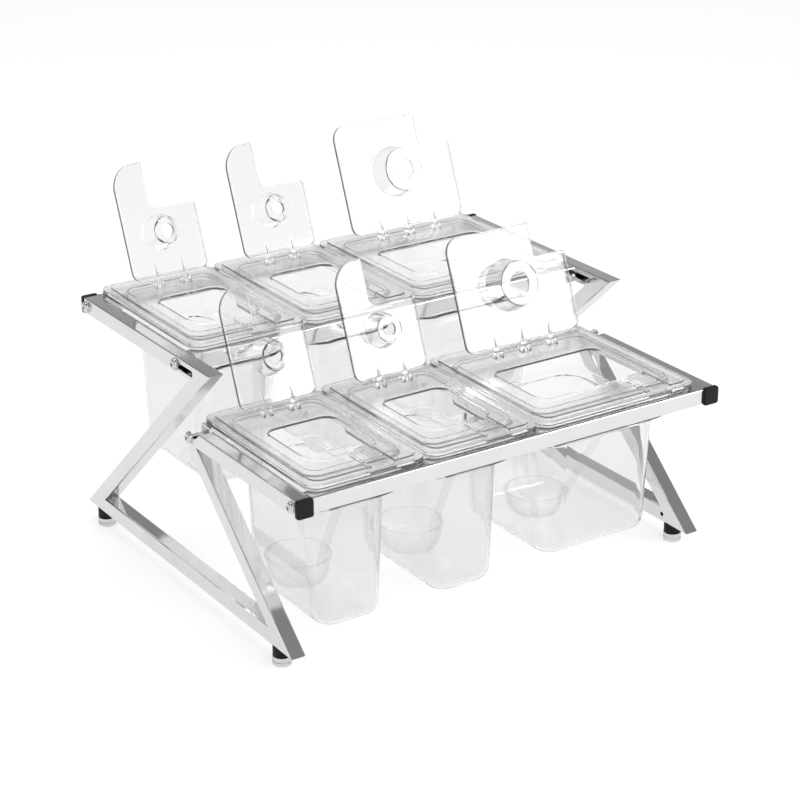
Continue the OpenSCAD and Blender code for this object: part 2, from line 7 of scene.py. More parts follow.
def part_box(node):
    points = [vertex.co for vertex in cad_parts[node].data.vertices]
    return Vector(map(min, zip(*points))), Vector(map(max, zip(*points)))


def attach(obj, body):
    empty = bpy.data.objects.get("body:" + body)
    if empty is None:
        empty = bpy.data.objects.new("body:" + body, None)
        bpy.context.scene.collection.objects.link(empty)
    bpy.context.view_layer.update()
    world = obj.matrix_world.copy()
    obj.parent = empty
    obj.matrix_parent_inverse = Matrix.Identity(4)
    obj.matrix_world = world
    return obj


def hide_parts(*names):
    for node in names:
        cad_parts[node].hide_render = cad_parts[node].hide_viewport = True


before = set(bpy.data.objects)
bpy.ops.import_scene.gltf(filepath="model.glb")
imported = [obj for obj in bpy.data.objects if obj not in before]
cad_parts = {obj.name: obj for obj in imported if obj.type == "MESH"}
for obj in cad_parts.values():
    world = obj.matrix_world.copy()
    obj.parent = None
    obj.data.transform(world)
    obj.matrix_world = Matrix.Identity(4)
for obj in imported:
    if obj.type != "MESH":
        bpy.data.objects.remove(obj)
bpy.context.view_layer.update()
mm = 0.001


# A socket whose sums and products with others add their Math nodes
class Wire:
    def __init__(self, graph, socket):
        self.graph = graph
        self.socket = socket

    def out(self, name):
        return Wire(self.graph, self.socket.node.outputs[name])

    def maths(self, operation, *others):
        return self.graph.add("ShaderNodeMath", {"operation": operation},
                              dict(enumerate((self, *others))))

    def __add__(self, other):
        return self.maths("ADD", other)

    def __sub__(self, other):
        return self.maths("SUBTRACT", other)

    def __mul__(self, other):
        return self.maths("MULTIPLY", other)

    def __truediv__(self, other):
        return self.maths("DIVIDE", other)

    def __mod__(self, other):
        return self.maths("MODULO", other)

    def __pow__(self, other):
        return self.maths("POWER", other)

    def __rsub__(self, other):
        return self.graph.add("ShaderNodeMath", {"operation": "SUBTRACT"}, {0: other, 1: self})

    def __rtruediv__(self, other):
        return self.graph.add("ShaderNodeMath", {"operation": "DIVIDE"}, {0: other, 1: self})

    __radd__ = __add__
    __rmul__ = __mul__


class Graph:
    def __init__(self, tree):
        self.tree = tree
        tree.nodes.clear()

    # Any node: its settings first, then the values or wires of its sockets
    def add(self, kind, settings=None, inputs=None):
        node = self.tree.nodes.new(kind)
        for name, value in (settings or {}).items():
            setattr(node, name, value)
        for name, value in (inputs or {}).items():
            if isinstance(value, Wire):
                self.tree.links.new(value.socket, node.inputs[name])
            else:
                node.inputs[name].default_value = value
        return Wire(self, node.outputs[0]) if node.outputs else None

    def mixed(self, share, first, second):
        mix = self.add("ShaderNodeMix", {"data_type": "RGBA"}, {0: share, 6: first, 7: second})
        return mix.out(2)


def grey(level, tint=0.0):
    return (level - tint, level, level + tint, 1.0)


# Every finish reads Object coordinates, so its pattern stays on the piece
def newFinish(name):
    material = bpy.data.materials.new(name)
    material.use_nodes = True
    graph = Graph(material.node_tree)
    place = graph.add("ShaderNodeTexCoord").out("Object")
    return material, graph, place


def noise(graph, place, scale, detail=3.0, rough=0.5):
    return graph.add("ShaderNodeTexNoise", {"noise_dimensions": "3D"},
                     {"Vector": place, "Scale": scale, "Detail": detail, "Roughness": rough})


def bumpFrom(graph, height, strength, depth):
    return graph.add("ShaderNodeBump", None,
                     {"Strength": strength, "Distance": depth, "Height": height})


# Stretches a noise, which seldom leaves the middle of its range, from low to high
def spread(graph, value, low, high):
    return graph.add("ShaderNodeMapRange", {"clamp": True},
                     {0: value, 1: 0.3, 2: 0.7, 3: low, 4: high})


def greyFrom(graph, level):
    return graph.add("ShaderNodeCombineColor", None, {0: level, 1: level, 2: level})


steelLook = {"colour": 0.80, "vary": 0.05, "tint": 0.006, "roughLow": 0.07, "roughHigh": 0.15,
             "smears": 28.0, "smearShare": 0.65, "grain": 900.0, "along": 14.0,
             "relief": 0.08, "dent": 0.00002}


# Polished tube with faint polishing lines along it; lean turns the lines about X
def tubeSteel(name, lean, crosswise=False):
    look = steelLook
    material, graph, place = newFinish(name)
    across = math.pi / 2 if crosswise else 0.0
    turned = graph.add("ShaderNodeMapping", {"vector_type": "TEXTURE"},
                       {"Vector": place, "Rotation": (lean, 0.0, across)})
    long = graph.add("ShaderNodeVectorMath", {"operation": "MULTIPLY"},
                     {0: turned, 1: (1.0, look["along"] / look["grain"], 1.0)})
    lines = noise(graph, long, look["grain"], 2.0)
    smears = noise(graph, place, look["smears"], 4.0)
    colour = graph.mixed(smears, grey(look["colour"] - look["vary"], look["tint"]),
                         grey(look["colour"] + look["vary"], look["tint"]))
    worn = smears * look["smearShare"] + lines * (1 - look["smearShare"])
    rough = spread(graph, worn, look["roughLow"], look["roughHigh"])
    shader = graph.add("ShaderNodeBsdfPrincipled", None, {
        "Base Color": colour, "Metallic": 1.0, "Roughness": rough,
        "Normal": bumpFrom(graph, lines, look["relief"], look["dent"])})
    graph.add("ShaderNodeOutputMaterial", None, {"Surface": shader})
    return material


turnedLook = {"grain": 700.0, "wear": 90.0, "darker": 0.08, "lighter": 0.05, "relief": 0.12,
              "dent": 0.00003}


# Small machined parts, from low to high roughness
def turnedSteel(name, level, low, high):
    look = turnedLook
    material, graph, place = newFinish(name)
    grain = noise(graph, place, look["grain"], 2.0)
    worn = noise(graph, place, look["wear"], 3.0)
    shader = graph.add("ShaderNodeBsdfPrincipled", None, {
        "Base Color": graph.mixed(worn, grey(level - look["darker"]),
                                  grey(level + look["lighter"])),
        "Metallic": 1.0, "Roughness": spread(graph, grain * 0.5 + worn * 0.5, low, high),
        "Normal": bumpFrom(graph, grain, look["relief"], look["dent"])})
    graph.add("ShaderNodeOutputMaterial", None, {"Surface": shader})
    return material


blackLook = {"dark": 0.006, "light": 0.016, "gloss": 0.2, "roughLow": 0.34, "roughHigh": 0.52,
             "skin": 2200.0, "sheen": 120.0, "relief": 0.25, "dent": 0.00004}


def mouldedBlack(name):
    look = blackLook
    material, graph, place = newFinish(name)
    skin = noise(graph, place, look["skin"], 2.0)
    sheen = noise(graph, place, look["sheen"], 3.0)
    shader = graph.add("ShaderNodeBsdfPrincipled", None, {
        "Base Color": graph.mixed(sheen, grey(look["dark"]), grey(look["light"])),
        "Specular IOR Level": look["gloss"],
        "Roughness": spread(graph, sheen, look["roughLow"], look["roughHigh"]),
        "Normal": bumpFrom(graph, skin, look["relief"], look["dent"])})
    graph.add("ShaderNodeOutputMaterial", None, {"Surface": shader})
    return material


clearLook = {"bend": 1.50, "clean": 0.01, "handled": 0.05, "lampShare": 0.90, "clearness": 0.98,
             "darker": 0.015, "lighter": 0.01, "flow": 22.0, "marks": 60.0, "relief": 0.12,
             "ripple": 0.00004}


# Clear moulded plastic: flow marks in the surface, a few dull handled places, and lamps shine
# through it
def clearPlastic(name, level, tint, changes=None):
    look = {**clearLook, **(changes or {})}
    material, graph, place = newFinish(name)
    flow = noise(graph, place, look["flow"], 2.0)
    handled = noise(graph, place, look["marks"], 5.0, 0.6)
    shader = graph.add("ShaderNodeBsdfPrincipled", None, {
        "Base Color": graph.mixed(flow, grey(level - look["darker"], tint),
                                  grey(level + look["lighter"], tint)),
        "Roughness": spread(graph, handled, look["clean"], look["handled"]),
        "IOR": look["bend"], "Transmission Weight": look["clearness"],
        "Normal": bumpFrom(graph, flow, look["relief"], look["ripple"])})
    lamps = graph.add("ShaderNodeLightPath").out("Is Shadow Ray")
    through = graph.add("ShaderNodeBsdfTransparent", None, {"Color": grey(look["lampShare"])})
    surface = graph.add("ShaderNodeMixShader", None, {0: lamps, 1: shader, 2: through})
    graph.add("ShaderNodeOutputMaterial", None, {"Surface": surface})
    return material


# The grey of a seen-edge-on ladle is painted shade: its tone, and how strongly it shows on the bowl
# and above the rim
thinLook = {"paintedEdgeShade": 0.36, "vary": 0.04, "face": 0.02, "edge": 0.95, "bowlEdge": 0.24,
            "rimFrom": 0.0468, "rimSoft": 0.0004, "flow": 40.0, "clean": 0.06, "handled": 0.16}


# Thin clear plastic, nearly see-through, with painted grey shade where it is seen edge on in place
# of the dark lines that bent light draws there, most of all at the rim and the handle
def thinClearPlastic(name):
    look = thinLook
    material, graph, place = newFinish(name)
    flow = noise(graph, place, look["flow"], 2.0)
    # Painted shade: the grey grows the more edge on the surface is seen, and is strongest from the
    # rim's height up
    edgeOn = graph.add("ShaderNodeLayerWeight", None, {"Blend": 0.5}).out("Facing")
    height = graph.add("ShaderNodeSeparateXYZ", None, {0: place}).out("Z")
    strength = graph.add("ShaderNodeMapRange", {"clamp": True}, {
        0: height, 1: look["rimFrom"] - look["rimSoft"], 2: look["rimFrom"],
        3: look["bowlEdge"], 4: look["edge"]})
    shader = graph.add("ShaderNodeBsdfPrincipled", None, {
        "Base Color": graph.mixed(flow, grey(look["paintedEdgeShade"] - look["vary"]),
                                  grey(look["paintedEdgeShade"] + look["vary"])),
        "Roughness": spread(graph, flow, look["clean"], look["handled"]),
        "Alpha": edgeOn ** 3 * strength + look["face"]})
    graph.add("ShaderNodeOutputMaterial", None, {"Surface": shader})
    return material


# How far a leg leans between two corners of the zigzag, given as (y, z)
def legLean(first, second):
    return math.atan2(second[1] - first[1], second[0] - first[0])


rackLine = {"upperFront": (-33.6, 206.4), "baseRear": (165.5, 23.0),
            "baseFront": (-149.6, 23.0), "lowerRear": (-9.0, 149.7)}
barSteel = tubeSteel("polishedBarSteel", 0.0, crosswise=True)
railSteel = tubeSteel("polishedRailSteel", 0.0)
rearLegSteel = tubeSteel("polishedRearLegSteel",
                         legLean(rackLine["upperFront"], rackLine["baseRear"]))
frontLegSteel = tubeSteel("polishedFrontLegSteel",
                          legLean(rackLine["baseFront"], rackLine["lowerRear"]))
screwSteel = turnedSteel("screwSteel", level=0.70, low=0.16, high=0.30)
footSteel = turnedSteel("footSteel", level=0.74, low=0.14, high=0.26)
nutSteel = turnedSteel("nutSteel", level=0.55, low=0.3, high=0.45)
capBlack = mouldedBlack("capBlack")
panClear = clearPlastic("panClear", level=0.93, tint=0.003)
lidClear = clearPlastic("lidClear", level=0.99, tint=0.0,
                        changes={"bend": 1.36, "clean": 0.09, "handled": 0.16})
flapClear = clearPlastic("flapClear", level=0.935, tint=0.002)
ladleClear = thinClearPlastic("ladleClear")
print("stage: finishes made")


# Points nearer than near are one, and thinner faces than thin go, in metres; angles in degrees
meshRules = {"near": 0.000002, "thin": 0.000001, "flat": 0.4, "outline": 40.0, "sharp": 32.0,
             "crease": 50.0}


# Shading that stays flat on flat faces: each corner takes the mean of the faces it meets within the
# crease angle, and the larger faces count far more
def flatFacesKept(mesh, crease):
    limit = math.cos(math.radians(crease))
    meeting = [[] for vertex in mesh.vertices]
    for face in mesh.polygons:
        for corner, vertex in zip(face.loop_indices, face.vertices):
            meeting[vertex].append((corner, face.normal.copy(), face.area ** 2))
    normals = [None] * len(mesh.loops)
    for corners in meeting:
        for corner, normal, weight in corners:
            total = Vector()
            for other, near, share in corners:
                if normal.dot(near) > limit:
                    total += near * share
            normals[corner] = total.normalized() if total.length > 0 else normal
    mesh.normals_split_custom_set(normals)


def finishedPiece(mesh, name, body, standsFor=(), crease=38.0):
    for face in mesh.polygons:
        face.use_smooth = True
    flatFacesKept(mesh, crease)
    piece = bpy.data.objects.new(name, mesh)
    bpy.context.scene.collection.objects.link(piece)
    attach(piece, body)
    if standsFor:
        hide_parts(*standsFor)
    return piece


def bakedMesh(holder, name):
    view = bpy.context.evaluated_depsgraph_get()
    mesh = bpy.data.meshes.new_from_object(holder.evaluated_get(view), depsgraph=view)
    mesh.name = name
    return mesh


def facedOutward(mesh):
    shape = bmesh.new()
    shape.from_mesh(mesh)
    bmesh.ops.remove_doubles(shape, verts=shape.verts, dist=meshRules["near"])
    bmesh.ops.dissolve_degenerate(shape, edges=shape.edges, dist=meshRules["thin"])
    bmesh.ops.recalc_face_normals(shape, faces=shape.faces)
    shape.to_mesh(mesh)
    shape.free()
    return mesh


# The sharp outer edges of the broad faces, without runs that would end at an edge too short for
# the easing
def outlineEdges(shape, ease, broad):
    limit = math.radians(meshRules["outline"])
    picked = {edge for edge in shape.edges
              if len(edge.link_faces) == 2 and edge.calc_face_angle_signed() > limit
              and max(face.calc_area() for face in edge.link_faces) > broad * mm * mm}
    trimmed = True
    while trimmed:
        trimmed = False
        for vertex in shape.verts:
            mine = [edge for edge in vertex.link_edges if edge in picked]
            others = [edge for edge in vertex.link_edges if edge not in picked]
            if len(mine) == 1 and any(edge.calc_length() < ease * mm * 1.5 for edge in others):
                picked.discard(mine[0])
                trimmed = True
    return picked


# A CAD solid finished as the polished or moulded one is; ease rounds its edges, in millimetres, and
# broad is the least area of the faces whose outlines are eased, or none for every edge
def easedSolid(node, name, body, slotName, material, ease=0.0, steps=2, broad=None):
    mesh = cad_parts[node].data.copy()
    shape = bmesh.new()
    shape.from_mesh(mesh)
    bmesh.ops.remove_doubles(shape, verts=shape.verts, dist=meshRules["near"])
    bmesh.ops.dissolve_limit(shape, angle_limit=math.radians(meshRules["flat"]),
                             verts=shape.verts, edges=shape.edges)
    if broad:
        weight = shape.edges.layers.float.new("bevel_weight_edge")
        for edge in outlineEdges(shape, ease, broad):
            edge[weight] = 1.0
    shape.to_mesh(mesh)
    shape.free()
    mesh.materials.clear()
    mesh.materials.append(material)
    holder = bpy.data.objects.new("easing", mesh)
    bpy.context.scene.collection.objects.link(holder)
    if ease:
        bevel = holder.modifiers.new("ease", "BEVEL")
        bevel.width = ease * mm
        bevel.segments = steps
        bevel.limit_method = "WEIGHT" if broad else "ANGLE"
        bevel.angle_limit = math.radians(meshRules["sharp"])
        bevel.miter_outer = "MITER_SHARP" if broad else "MITER_ARC"
        bevel.use_clamp_overlap = not broad
    finished = bakedMesh(holder, name)
    holder.modifiers.clear()
    bpy.data.objects.remove(holder)
    return finishedPiece(finished, name, body, [node], meshRules["crease"])


# The loft: a skin through rounded rectangles, whose sizes sit on a row of points
def loftTree():
    tree = bpy.data.node_groups.new("skinThroughSections", "GeometryNodeTree")
    face = tree.interface
    face.new_socket("Sections", in_out="INPUT", socket_type="NodeSocketGeometry")
    steps = face.new_socket("Corner Steps", in_out="INPUT", socket_type="NodeSocketInt")
    steps.default_value = 12
    centre = face.new_socket("Centre", in_out="INPUT", socket_type="NodeSocketVector")
    finish = face.new_socket("Finish", in_out="INPUT", socket_type="NodeSocketMaterial")
    face.new_socket("Skin", in_out="OUTPUT", socket_type="NodeSocketGeometry")
    graph = Graph(tree)
    given = graph.add("NodeGroupInput")
    sections, stepCount = given.out("Sections"), given.out("Corner Steps")
    sectionCount = graph.add("GeometryNodeAttributeDomainSize", {"component": "MESH"},
                             {"Geometry": sections}).out("Point Count")
    perCorner = stepCount + 1
    around = perCorner * 4 + 1
    grid = graph.add("GeometryNodeMeshGrid", None, {
        "Size X": 1.0, "Size Y": 1.0, "Vertices X": sectionCount, "Vertices Y": around})
    index = graph.add("GeometryNodeInputIndex")
    row = (index / around).maths("FLOOR")
    step = (index - row * around) % (perCorner * 4)
    corner = (step / perCorner).maths("FLOOR")
    turn = (corner + (step - corner * perCorner) / stepCount) * (math.pi / 2)
    middle = corner * (math.pi / 2) + math.pi / 4

    def sampled(dataType, value, output=0):
        return graph.add("GeometryNodeSampleIndex", {"data_type": dataType, "domain": "POINT"},
                         {"Geometry": sections, "Value": value, "Index": row})

    size = graph.add("ShaderNodeSeparateXYZ", None, {
        0: sampled("FLOAT_VECTOR", graph.add("GeometryNodeInputPosition"))})
    radius = sampled("FLOAT", graph.add("GeometryNodeInputNamedAttribute", {"data_type": "FLOAT"},
                                        {"Name": "cornerRadius"}))
    flats = sampled("FLOAT", graph.add("GeometryNodeInputNamedAttribute", {"data_type": "FLOAT"},
                                       {"Name": "sixSided"}))
    halfWidth, halfDepth, height = size.out("X"), size.out("Y"), size.out("Z")
    # How far a hexagon's side is from its middle in this direction, against its corner
    side = math.cos(math.pi / 6) / ((turn % (math.pi / 3)) - math.pi / 6).maths("COSINE")
    shrink = 1.0 - flats * (1.0 - side)
    x = middle.maths("COSINE").maths("SIGN") * (halfWidth - radius) + radius * turn.maths("COSINE")
    y = middle.maths("SINE").maths("SIGN") * (halfDepth - radius) + radius * turn.maths("SINE")
    place = graph.add("ShaderNodeCombineXYZ", None, {"X": x * shrink, "Y": y * shrink, "Z": height})
    moved = graph.add("ShaderNodeVectorMath", {"operation": "ADD"},
                      {0: place, 1: given.out("Centre")})
    skin = graph.add("GeometryNodeSetPosition", None, {"Geometry": grid, "Position": moved})
    closed = graph.add("GeometryNodeMergeByDistance", None,
                       {"Geometry": skin, "Distance": meshRules["near"]})
    real = graph.add("GeometryNodeRealizeInstances", None, {"Geometry": closed})
    painted = graph.add("GeometryNodeSetMaterial", None,
                        {"Geometry": real, "Material": given.out("Finish")})
    graph.add("NodeGroupOutput", None, {"Skin": painted})
    return tree, {"steps": steps.identifier, "centre": centre.identifier,
                  "finish": finish.identifier}


loft, loftInput = loftTree()


# Sections are (half width, half depth, corner radius, height[, share of a hexagon]) in millimetres
def loftedMesh(name, sections, material, centre=(0.0, 0.0, 0.0), steps=12):
    mesh = bpy.data.meshes.new("sections")
    mesh.from_pydata([(s[0] * mm, s[1] * mm, s[3] * mm) for s in sections], [], [])
    radius = mesh.attributes.new("cornerRadius", "FLOAT", "POINT")
    flats = mesh.attributes.new("sixSided", "FLOAT", "POINT")
    for i, section in enumerate(sections):
        radius.data[i].value = section[2] * mm
        flats.data[i].value = section[4] if len(section) > 4 else 0.0
    holder = bpy.data.objects.new("lofting", mesh)
    bpy.context.scene.collection.objects.link(holder)
    modifier = holder.modifiers.new("loft", "NODES")
    modifier.node_group = loft
    modifier[loftInput["steps"]] = steps
    modifier[loftInput["centre"]] = centre
    modifier[loftInput["finish"]] = material
    skin = bakedMesh(holder, name)
    holder.modifiers.clear()
    bpy.data.objects.remove(holder)
    return facedOutward(skin)


def roundSection(radius, height, flats=0.0):
    return (radius, radius, radius, height, flats)


def between(first, second, share):
    return tuple(a + (b - a) * share for a, b in zip(first, second))


# Eases each bend of a row of sections, by at most reach and a third of either side
def easedBends(sections, reach, steps=3):
    eased = [sections[0]]
    for before, here, after in zip(sections, sections[1:], sections[2:]):
        start = between(here, before, min(reach / math.dist(here, before), 1 / 3))
        stop = between(here, after, min(reach / math.dist(here, after), 1 / 3))
        for i in range(steps + 1):
            t = i / steps
            eased.append(between(between(start, here, t), between(here, stop, t), t))
    eased.append(sections[-1])
    return eased


# Copies of one model, each at its place and turn
def copiesTree():
    tree = bpy.data.node_groups.new("copiesAtPlaces", "GeometryNodeTree")
    face = tree.interface
    face.new_socket("Places", in_out="INPUT", socket_type="NodeSocketGeometry")
    model = face.new_socket("Model", in_out="INPUT", socket_type="NodeSocketObject")
    finish = face.new_socket("Finish", in_out="INPUT", socket_type="NodeSocketMaterial")
    face.new_socket("Copies", in_out="OUTPUT", socket_type="NodeSocketGeometry")
    graph = Graph(tree)
    given = graph.add("NodeGroupInput")
    shape = graph.add("GeometryNodeObjectInfo", {"transform_space": "ORIGINAL"},
                      {"Object": given.out("Model")}).out("Geometry")
    facing = graph.add("GeometryNodeInputNamedAttribute", {"data_type": "FLOAT_VECTOR"},
                       {"Name": "facing"})
    turned = graph.add("FunctionNodeEulerToRotation", None, {0: facing})
    placed = graph.add("GeometryNodeInstanceOnPoints", None,
                       {"Points": given.out("Places"), "Instance": shape, "Rotation": turned})
    real = graph.add("GeometryNodeRealizeInstances", None, {"Geometry": placed})
    painted = graph.add("GeometryNodeSetMaterial", None,
                        {"Geometry": real, "Material": given.out("Finish")})
    graph.add("NodeGroupOutput", None, {"Copies": painted})
    return tree, {"model": model.identifier, "finish": finish.identifier}


copies, copiesInput = copiesTree()


# Places are (position in millimetres, turn as Euler angles)
def copiedMesh(name, modelMesh, places, material):
    model = bpy.data.objects.new("model", modelMesh)
    mesh = bpy.data.meshes.new("places")
    mesh.from_pydata([tuple(v * mm for v in where) for where, turn in places], [], [])
    facing = mesh.attributes.new("facing", "FLOAT_VECTOR", "POINT")
    for i, (where, turn) in enumerate(places):
        facing.data[i].vector = turn
    holder = bpy.data.objects.new("placing", mesh)
    bpy.context.scene.collection.objects.link(holder)
    modifier = holder.modifiers.new("copies", "NODES")
    modifier.node_group = copies
    modifier[copiesInput["model"]] = model
    modifier[copiesInput["finish"]] = material
    made = bakedMesh(holder, name)
    holder.modifiers.clear()
    bpy.data.objects.remove(holder)
    bpy.data.objects.remove(model)
    return made


rack = {"outerX": 206.5, "lowerZ": 149.7, "upperZ": 206.4,
        "lowerBars": (-173.8, -15.8), "upperBars": (4.5, 162.5)}
tubeFinish = {
    "upper_rail_left": railSteel, "upper_rail_right": railSteel,
    "lower_rail_left": railSteel, "lower_rail_right": railSteel,
    "base_tube_left": railSteel, "base_tube_right": railSteel,
    "rear_leg_left": rearLegSteel, "rear_leg_right": rearLegSteel,
    "front_leg_left": frontLegSteel, "front_leg_right": frontLegSteel,
    "upper_front_bar": barSteel, "upper_rear_bar": barSteel,
    "lower_front_bar": barSteel, "lower_rear_bar": barSteel}
for node, material in tubeFinish.items():
    easedSolid(node, node + "_polished", "rack", "polished_steel", material)
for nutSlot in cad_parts["bar_end_nuts"].material_slots:  # hidden inside the bars
    nutSlot.material = nutSteel
print("stage: tubes polished")


# Where the bars' ends are, with the piece's +Z pointing out of the rack
def barEnds():
    for z, bars in ((rack["lowerZ"], rack["lowerBars"]), (rack["upperZ"], rack["upperBars"])):
        for y in bars:
            for side in (-1, 1):
                yield (side * rack["outerX"], y, z), (0.0, side * math.pi / 2, 0.0)


screw = {"headR": 4.75, "headH": 2.7, "crown": 0.62, "headEdge": 0.35, "underEdge": 0.15,
         "socket": 3.0, "socketDeep": 1.62, "socketTip": 0.5, "socketEdge": 0.12,
         "shank": 2.5, "shankL": 28.4, "shankTip": 0.5,
         "washerR": 5.5, "washerHole": 2.7, "washerT": 1.0, "washerUnder": 0.15, "washerEdge": 0.2}


def screwSections():
    s = screw
    corner = s["socket"] / 2 / math.cos(math.pi / 6)
    top = s["washerT"] + s["headH"]
    dome = [roundSection(s["headR"] * math.cos(a) * s["crown"] + s["headR"] * (1 - s["crown"]),
                         s["washerT"] + s["headEdge"] + (s["headH"] - s["headEdge"]) * math.sin(a))
            for a in [math.radians(9 * k) for k in range(11)]]
    shank = [roundSection(0, -s["shankL"]), roundSection(s["shank"] - s["shankTip"], -s["shankL"]),
             roundSection(s["shank"], -s["shankL"] + s["shankTip"]),
             roundSection(s["shank"], s["washerT"])]
    under = [roundSection(s["headR"] - s["underEdge"], s["washerT"]),
             roundSection(s["headR"], s["washerT"] + s["underEdge"])]
    socket = [roundSection(corner + s["socketEdge"], top, 0.6),
              roundSection(corner, top - s["socketEdge"], 1),
              roundSection(corner, top - s["socketDeep"], 1),
              roundSection(0, top - s["socketDeep"] - s["socketTip"])]
    return shank + under + dome + socket


def washerSections():
    s = screw
    return [roundSection(s["washerHole"], 0), roundSection(s["washerR"] - s["washerUnder"], 0),
            roundSection(s["washerR"], s["washerUnder"]),
            roundSection(s["washerR"], s["washerT"] - s["washerEdge"]),
            roundSection(s["washerR"] - s["washerEdge"], s["washerT"]),
            roundSection(s["washerHole"], s["washerT"]), roundSection(s["washerHole"], 0)]


screwModel = loftedMesh("screwModel", screwSections(), screwSteel)
finishedPiece(copiedMesh("bar_screws_turned", screwModel, list(barEnds()), screwSteel),
              "bar_screws_turned", "rack", ["bar_screws"])
washerModel = loftedMesh("washerModel", washerSections(), footSteel)
finishedPiece(copiedMesh("bar_washers_pressed", washerModel, list(barEnds()), footSteel),
              "bar_washers_pressed", "rack", ["bar_washers"])
print("stage: screws and washers placed")

cap = {"ease": 0.3, "steps": 3}

for node in ("rail_caps", "foot_collars"):
    easedSolid(node, node + "_moulded", "rack", "black_plastic", capBlack, **cap)

foot = {"radius": 8.0, "top": 7.7, "bevel": 0.8, "bevelStep": 0.25,
        "grooveZ": (3.2, 3.5, 4.1, 4.4), "grooveDeep": 0.35,
        "stud": 3.0, "studTop": 19.9, "studTip": 0.4}


# From the middle of the sole up the disc's side, over its top and up the stud
def footSections():
    f = foot
    r, top, sole = f["radius"], f["top"], f["bevelStep"]
    disc = [(0, 0), (r - f["bevel"], 0), (r - sole, sole), (r, f["bevel"])]
    groove = list(zip((r, r - f["grooveDeep"], r - f["grooveDeep"], r), f["grooveZ"]))
    upper = [(r, top - f["bevel"]), (r - sole, top - sole), (r - f["bevel"], top)]
    stud = [(f["stud"], top), (f["stud"], f["studTop"] - f["studTip"]),
            (f["stud"] - f["studTip"], f["studTop"]), (0, f["studTop"])]
    return [roundSection(radius, height) for radius, height in disc + groove + upper + stud]


for name in ("foot_front_left", "foot_front_right", "foot_rear_left", "foot_rear_right"):
    low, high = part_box(name)
    centre = ((low.x + high.x) / 2, (low.y + high.y) / 2, low.z)
    finishedPiece(loftedMesh(name + "_turned", footSections(), footSteel, centre),
                  name + "_turned", name, [name])
print("stage: caps and feet made")


# The pans hang by their rims; heights are measured from the rails' top face
pan = {"ledgeX": 9.5, "ledgeY": 19.0, "rimT": 2.3, "rimZ": 0.3, "rimR": 12.0, "rimEdge": 0.75,
       "wall": 2.0, "mouthR": 14.0, "bodyR": 24.0, "cornerR": 18.0, "shoulderZ": -28.1,
       "shoulderFall": 3.0, "shoulderX": 8.0, "shoulderY": 2.6, "neckDraft": 0.8,
       "draftX": 5.2, "bottomR": 12.0, "bend": 1.4, "bottomSteps": 12, "cornerSteps": 24,
       "crease": 60.0}


# The rounded turn from the bottom up into the walls
def bottomTurn(halfX, halfY, radius, z, fillet):
    steps = pan["bottomSteps"]
    return [(halfX - fillet * (1 - math.sin(a)), halfY - fillet * (1 - math.sin(a)),
             radius - fillet * (1 - math.sin(a)), z + fillet * (1 - math.cos(a)))
            for a in [math.pi / 2 * k / steps for k in range(steps + 1)]]


def panSections(halfX, halfY, depth):
    p = pan
    t = p["wall"]
    neckX, neckY = halfX - p["ledgeX"], halfY - p["ledgeY"]
    bodyX = neckX - p["neckDraft"] - p["shoulderX"]
    bodyY = neckY - p["neckDraft"] - p["shoulderY"]
    draftY = p["draftX"] / 2
    low, under, top = p["shoulderZ"] - p["shoulderFall"], p["rimZ"], p["rimZ"] + p["rimT"]
    e = p["rimEdge"]
    edge = [(halfX - e + e * math.cos(a), halfY - e + e * math.cos(a),
             p["rimR"] - e + e * math.cos(a), (under + e if a < 0 else top - e) + e * math.sin(a))
            for a in [math.radians(v) for v in (-90, -60, -30, -1, 1, 30, 60, 90)]]
    outer = [(bodyX, bodyY, p["bodyR"], low),
             (neckX - p["neckDraft"], neckY - p["neckDraft"], p["mouthR"], p["shoulderZ"]),
             (neckX, neckY, p["mouthR"], under)]
    inner = [(neckX - t, neckY - t, p["mouthR"] - t, top),
             (neckX - t - p["neckDraft"], neckY - t - p["neckDraft"], p["mouthR"] - t,
              p["shoulderZ"] + t),
             (bodyX - t, bodyY - t, p["bodyR"] - t, low + t)]
    outsideBottom = bottomTurn(bodyX - p["draftX"], bodyY - draftY, p["cornerR"],
                               under - depth, p["bottomR"])
    insideBottom = bottomTurn(bodyX - p["draftX"] - t, bodyY - draftY - t, p["cornerR"] - t,
                              under - depth + t, p["bottomR"] - t)
    wall = outsideBottom[-1:] + outer + edge[:1]
    hollow = edge[-1:] + inner + insideBottom[-1:]
    return ([(0, 0, 0, outsideBottom[0][3])] + outsideBottom[:-1] + easedBends(wall, p["bend"])[:-1]
            + edge + easedBends(hollow, p["bend"])[1:-1] + insideBottom[::-1]
            + [(0, 0, 0, insideBottom[0][3])])


for name in [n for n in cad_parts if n.startswith("pan_")]:
    low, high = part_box(name)
    railTop = high.z - (pan["rimZ"] + pan["rimT"]) * mm
    sections = panSections((high.x - low.x) / 2 / mm, (high.y - low.y) / 2 / mm,
                           (railTop + pan["rimZ"] * mm - low.z) / mm)
    centre = ((low.x + high.x) / 2, (low.y + high.y) / 2, railTop)
    finishedPiece(loftedMesh(name + "_moulded", sections, panClear, centre, pan["cornerSteps"]),
                  name + "_moulded", name, [name], crease=pan["crease"])
print("stage: pans moulded")


lid = {"ease": 0.6, "steps": 3, "broad": 100.0}
flap = {"ease": 0.6, "steps": 3, "broad": 300.0}

for name in [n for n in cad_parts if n.startswith("lid_")]:
    easedSolid(name, name + "_moulded", name, "clear_lid", lidClear, **lid)
for name in [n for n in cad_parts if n.startswith("flap_")]:
    easedSolid(name, name + "_moulded", name, "clear_lid", flapClear, **flap)
print("stage: lids and flaps moulded")


